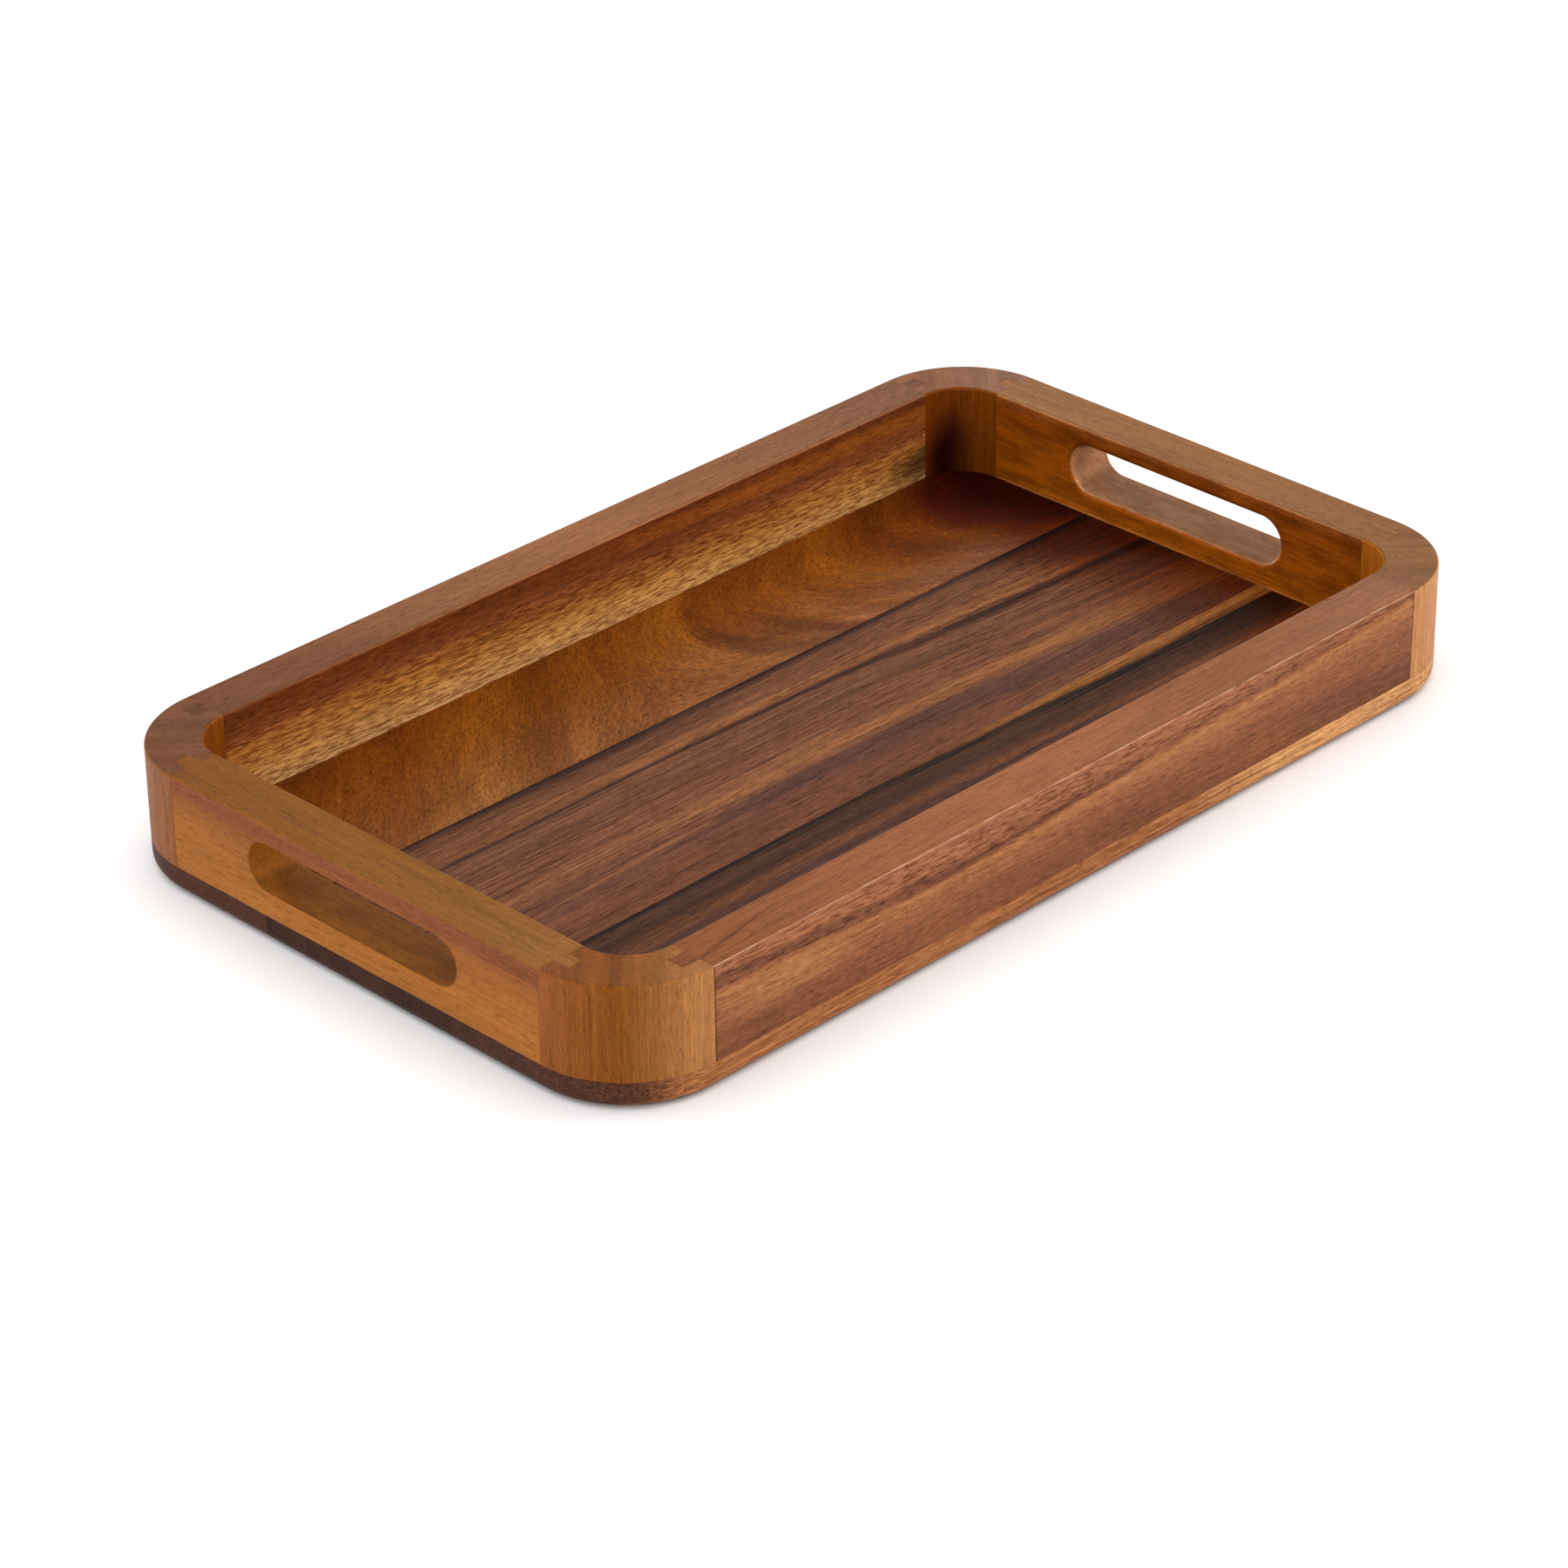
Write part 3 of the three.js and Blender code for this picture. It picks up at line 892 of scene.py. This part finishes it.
def inked(g, colour, place, band, strength, seed):
    """Black streaks that come and go along a dark band of the heartwood."""
    streaks = g.noise(place, (95, 2.4, 2.4), detail=3, roughness=0.7, seed=seed)
    ink = g.scaled(g.remap(streaks, 0.43, 0.54), band)
    return g.mix(g.scaled(ink, strength), colour, srgb(38, 29, 28, SHEEN))


def front_board_wood():
    """Dark heartwood, with a golden strip that widens to the right along its seam."""
    g = Graph("acacia_base_front")
    place = g.position()
    x, y, _ = place
    left, right = (seam / MM for seam in FRONT_SEAM_Y)
    seam = g.remap(x, -HALF_LENGTH / MM, HALF_LENGTH / MM, left, right, soft=False)
    strip = g.curve(x, [(-250, 1), (-40, 0), (60, -3), (130, -7), (226, -9)])
    below = g.less(g.less(y, seam), strip)
    s = g.add(below, wobble(g, place, (80, 10, 10), 2.4, 9), feather(g, place, 6.0, 10))
    colour = g.ramp(s, [
        (-110, (155, 101, 64)), (-90, (146, 95, 60)), (-62, (138, 88, 56)), (-40, (106, 66, 45)),
        (-28, (98, 64, 50)), (-24, (91, 60, 49)), (-20, (124, 78, 50)), (-16, (94, 60, 43)),
        (-11, (76, 50, 40)), (-8, (87, 57, 44)), (-5.5, (85, 57, 45)), (-3.2, (71, 49, 40)),
        (-0.8, (56, 40, 34)), (0.6, (112, 72, 44)), (3, (150, 97, 52)), (8, (158, 102, 56)),
        (12, (150, 97, 52)),
    ], SHEEN)
    narrowed = g.scaled(s, g.curve(x, [(-250, 2.0), (-120, 1.7), (60, 1.0), (226, 0.7)]))
    colour = inked(g, colour, place, between(g, narrowed, -6, -0.6, 1.6), 0.95, 12)
    front_edge = g.scaled(facing(g, "Y", 0.3, 0.8), g.remap(x, 40, 150))
    colour = g.mix(front_edge, colour, srgb(190, 138, 90, SHEEN))
    # Painted shade by the right wall and in the far corner, and dark end grain.
    colour = base_shade_and_end_grain(g, colour, x, y)
    strip_mask = g.scaled(between(g, s, 1.2, 20, 0.8), g.remap(x, 40, 110, 0.0, 0.5))
    colour = g.mix(strip_mask, colour, srgb(162, 108, 56, SHEEN))
    return wood(g, colour, place, 9.9, LIGHT["front"], **STRIPED_GRAIN)


def back_board_wood():
    """Golden brown with slanting bands on the left and bowed swirls on the right."""
    g = Graph("acacia_base_back")
    place = g.position()
    x, y, z = place
    bowed = g.remap(x, -70, 60)
    height = g.less(y, 95)
    slant = g.scaled(g.scaled(height, 0.85), g.less(1.0, bowed))
    bow = g.scaled(g.scaled(g.scaled(height, height), 1 / 42), bowed)
    flow = g.less(x, g.add(slant, bow))
    rough_wave = wobble(g, place, (30, 24, 24), 16.0, 11)
    s = g.add(flow, rough_wave)
    frayed = g.add(s, wobble(g, (s, y, z), (1.5, 9, 9), 7.0, 12))
    # The stops from 172 on grow darkest towards the right wall: painted shade of the far corner.
    colour = g.ramp(frayed, [
        (-260, (112, 62, 26)), (-200, (110, 60, 24)), (-165, (120, 68, 28)), (-140, (114, 62, 26)),
        (-118, (126, 73, 31)), (-96, (136, 82, 36)), (-76, (122, 71, 30)), (-58, (110, 61, 28)),
        (-42, (134, 79, 36)), (-22, (124, 71, 33)), (0, (134, 79, 38)), (18, (144, 89, 46)),
        (26, (134, 80, 40)), (33, (112, 63, 34)), (44, (118, 67, 34)), (58, (116, 65, 32)),
        (80, (130, 75, 34)), (96, (124, 69, 27)), (112, (138, 82, 32)), (126, (118, 64, 24)),
        (142, (100, 50, 17)), (152, (106, 56, 20)), (162, (116, 62, 22)), (172, (90, 43, 12)),
        (184, (69, 28, 6)), (205, (54, 18, 2)), (250, (46, 13, 2)),
    ], LOW_SHEEN)
    swirl, pale = srgb(76, 38, 22, LOW_SHEEN), srgb(154, 94, 50, LOW_SHEEN)
    long_finger = [(50, 58), (57, 48), (66, 39), (78, 32), (92, 29), (110, 31)]
    bent = g.add(x, g.scaled(rough_wave, 0.4), g.less(frayed, s))
    colour = painted(g, colour, y, bent, [
        (swirl, 0.55, long_finger, (16, 4), (34, 98, 8)),
        (swirl, 0.35, [(50, 80), (60, 70), (72, 62), (90, 55)], (9, 5), (34, 84, 10)),
        (pale, 0.50, [(50, 97), (60, 86), (80, 78)], (9, 9), (34, 86, 12)),
    ])
    # A painted sheen: a paler, greyer veil over the board by its seam.
    painted_sheen = g.scaled(g.remap(y, 80, 58), between(g, frayed, 84, 156, 12))
    colour = g.mix(g.scaled(painted_sheen, 0.5), colour, srgb(124, 76, 52, LOW_SHEEN))
    colour = g.stained(g.remap(y, 72, 100), colour, (1.04, 0.90, 0.26))
    colour = g.stained(g.remap(y, 70, 52), colour, (1.08, 1.22, 1.70))
    # Painted shade by the right wall, next to the seam.
    painted_wall_shade = g.scaled(g.remap(x, 160, 200), g.remap(y, 76, 58))
    colour = g.stained(painted_wall_shade, colour, (0.56, 0.30, 0.08))

    calm = g.add(flow, g.scaled(rough_wave, 0.45))
    figure = g.noise((calm, y, z), (11, 30, 20), detail=3, roughness=0.6, seed=23)
    colour = g.shade(colour, g.remap(figure, 0.32, 0.68, 0.84, 1.17))
    tilted = g.less(y, g.scaled(x, 0.25))
    ripple = g.noise((x, tilted, z), (3.2, 1.4, 4), detail=3, roughness=0.6, seed=19)
    colour = g.shade(colour, g.remap(ripple, 0.3, 0.7, 0.72, 1.30, soft=False))
    ends = g.scaled(facing(g, "X", 0.25, 0.7), 0.85)
    colour = g.mix(ends, colour, srgb(84, 50, 38))
    return wood(g, colour, (g.scaled(y, 1.2), calm, z), 11.1, LIGHT["back"], fibre=0.6, streak=0.5,
                speckle=0.9, dash=(2.8, 1.0), dash_depth=0.42, dash_share=0.65)


# ---------- the stage ----------


def pale_floor():
    """A wide, nearly white sheet under the tray."""
    data = bpy.data.meshes.new("studio_floor")
    half = 6.0
    corners = [(-half, -half, 0), (half, -half, 0), (half, half, 0), (-half, half, 0)]
    data.from_pydata(corners, [], [(0, 1, 2, 3)])
    floor = bpy.data.objects.new("studio_floor", data)
    bpy.context.scene.collection.objects.link(floor)
    g = Graph("pale_floor")
    shader = g.node("BsdfPrincipled", {"Base Color": (0.94, 0.94, 0.94, 1), "Roughness": 0.85})
    g.feed(g.node("OutputMaterial").inputs["Surface"], shader.outputs[0])
    data.materials.append(g.material)


SOFTBOXES = [
    # name, place, length of its sides, watts
    ("softbox_above", (0, 0, 2.5), 3.0, 24),
    ("softbox_right", (1.25, -1.0, 1.25), 0.9, 7),
    ("softbox_left", (-1.0, 1.25, 1.25), 0.9, 5),
]


def softbox(name, place, size, watts):
    """A square area light that looks at the tray."""
    light = bpy.data.lights.new(name, "AREA")
    light.shape = "RECTANGLE"
    light.size = size
    light.size_y = size
    light.energy = watts
    lamp = bpy.data.objects.new(name, light)
    lamp.location = place
    to_tray = -Vector(place)
    lamp.rotation_euler = to_tray.to_track_quat("-Z", "Y").to_euler()
    bpy.context.scene.collection.objects.link(lamp)


def studio_light():
    world = bpy.data.worlds.new("studio")
    bpy.context.scene.world = world
    world.use_nodes = True
    background = world.node_tree.nodes["Background"]
    background.inputs["Color"].default_value = (1.0, 1.0, 1.0, 1.0)
    background.inputs["Strength"].default_value = 1.00
    for box in SOFTBOXES:
        softbox(*box)
    bpy.context.scene.view_settings.view_transform = "Standard"


CAMERA_AZIMUTH = -45.096
CAMERA_ELEVATION = 29.582
CAMERA_ROLL = -0.739
CAMERA_DISTANCE = 2.11077
CAMERA_ASIDE = (-0.011415, -0.057431)  # of the rim's centre, to its right and upwards
CAMERA_LENS = 119.11


def camera():
    a, e = math.radians(CAMERA_AZIMUTH), math.radians(CAMERA_ELEVATION)
    back = Vector((math.sin(a) * math.cos(e), -math.cos(a) * math.cos(e), math.sin(e)))
    right = Vector((math.cos(a), math.sin(a), 0))
    up = back.cross(right)
    roll = Matrix.Rotation(math.radians(CAMERA_ROLL), 3, "Z")
    turn = Matrix((right, up, back)).transposed() @ roll
    data = bpy.data.cameras.new("camera")
    data.lens = CAMERA_LENS
    data.sensor_width = 36
    data.clip_end = 50
    made = bpy.data.objects.new("camera", data)
    aside, above = CAMERA_ASIDE
    place = Vector((0, 0, RIM_Z)) + back * CAMERA_DISTANCE + right * aside + up * above
    made.matrix_world = Matrix.Translation(place) @ turn.to_4x4()
    bpy.context.scene.collection.objects.link(made)
    bpy.context.scene.camera = made


# ---------- the tray ----------


def place_piece(piece, node, material):
    smooth(piece)
    piece.data.materials.clear()
    piece.data.materials.append(material)
    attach(piece, "root")
    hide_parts(node)


CORNERS = [
    # where, its side of x and of y, gain outside and on top, painted shade inside, colours across
    # the corner
    ("front_left", -1, -1, (0.94, 0.69), ((0.95, 0.66, 0.10), 0.5, 0.5), [
        (-38, (182, 126, 80)), (-22, (172, 114, 66)), (-10, (152, 97, 50)), (2, (138, 82, 36)),
        (14, (142, 83, 40)), (38, (149, 87, 50)),
    ]),
    ("front_right", 1, -1, (1.65, 0.62), ((0.76, 0.53, 0.08), 0.5, 0.5), [
        (-40, (151, 104, 67)), (-10, (155, 108, 71)), (38, (151, 102, 68)),
    ]),
    ("back_left", -1, 1, (1.10, 0.59), ((1.09, 0.76, 0.12), 0.5, 0.5), [
        (-40, (140, 90, 56)), (-10, (136, 90, 62)), (12, (134, 86, 57)), (38, (136, 85, 54)),
    ]),
    ("back_right", 1, 1, (0.85, 0.72), ((0.82, 0.44, 0.03), 1.0, 0.05), [
        (-40, (146, 98, 68)), (-10, (142, 96, 68)), (12, (148, 106, 82)), (38, (148, 108, 84)),
    ]),
]


def corner_blocks():
    for i, (where, side_x, side_y, light, inside_shade, stops) in enumerate(CORNERS):
        name, seed = "acacia_block_" + where, 21.0 + i
        shape = mirrored(corner_outline(), side_x, side_y)
        piece = layered_piece("block_" + where, shape, frame_layers(), GROOVE)
        material = corner_wood(name, side_x, side_y, light, inside_shade, stops, seed)
        place_piece(piece, "corner_block_" + where, material)


def long_rails():
    for where, side, material in (("front", -1, front_rail_wood()), ("back", 1, back_rail_wood())):
        shape = mirrored(long_rail_outline(), 1, side)
        piece = layered_piece("rail_" + where, shape, frame_layers(), GROOVE)
        place_piece(piece, where + "_rail", material)


HANDLE_RAILS = [
    # where, side, colours up its upright face, colours along its top, colour in its slot
    ("left", -1, [
        (-44, (172, 109, 53)), (-30, (166, 104, 50)), (-16, (160, 98, 48)), (-9, (151, 91, 50)),
        (-5, (135, 79, 50)), (0, (136, 82, 52)),
    ], [
        (-104, (154, 103, 52)), (-60, (147, 96, 46)), (0, (142, 91, 38)), (104, (139, 86, 38)),
    ], (150, 89, 24)),
    # The right rail's upright colours are the wood's own with painted shade of its inner face, and
    # its slot colour is the wood lightened by a painted reflection of the bright floor outside.
    ("right", 1, [
        (-44, (132, 70, 10)), (-36, (124, 62, 3)), (-16, (116, 56, 1)), (-5, (105, 49, 2)),
        (0, (110, 58, 22)),
    ], [
        (-104, (150, 103, 67)), (0, (154, 105, 66)), (104, (157, 111, 72)),
    ], (176, 126, 88)),
]


def handle_rails():
    for where, side, face_stops, top_stops, slot_colour in HANDLE_RAILS:
        shape = mirrored(handle_rail_outline(), side, 1)
        piece = layered_piece("handle_" + where, shape, frame_layers(), GROOVE)
        cut(piece, slot_cutter(side))
        material = handle_rail_wood(where, side, face_stops, top_stops, slot_colour, 33.0 + side)
        place_piece(piece, where + "_handle_rail", material)


def base_boards():
    left, right = FRONT_SEAM_Y
    front = mirrored(side_board_outline(-left, -right), 1, -1)
    back = side_board_outline(BACK_SEAM_Y, BACK_SEAM_Y)
    boards = [
        ("front", front, front_board_wood(), "base_wood_striped"),
        ("middle", middle_board_outline(), middle_board_wood(), "base_wood_striped"),
        ("back", back, back_board_wood(), "base_wood_figured"),
    ]
    for where, shape, material, slot in boards:
        piece = layered_piece("board_" + where, shape, base_layers(), SEAM_GROOVE)
        place_piece(piece, "base_board_" + where, material)


camera()
pale_floor()
studio_light()
corner_blocks()
long_rails()
handle_rails()
base_boards()
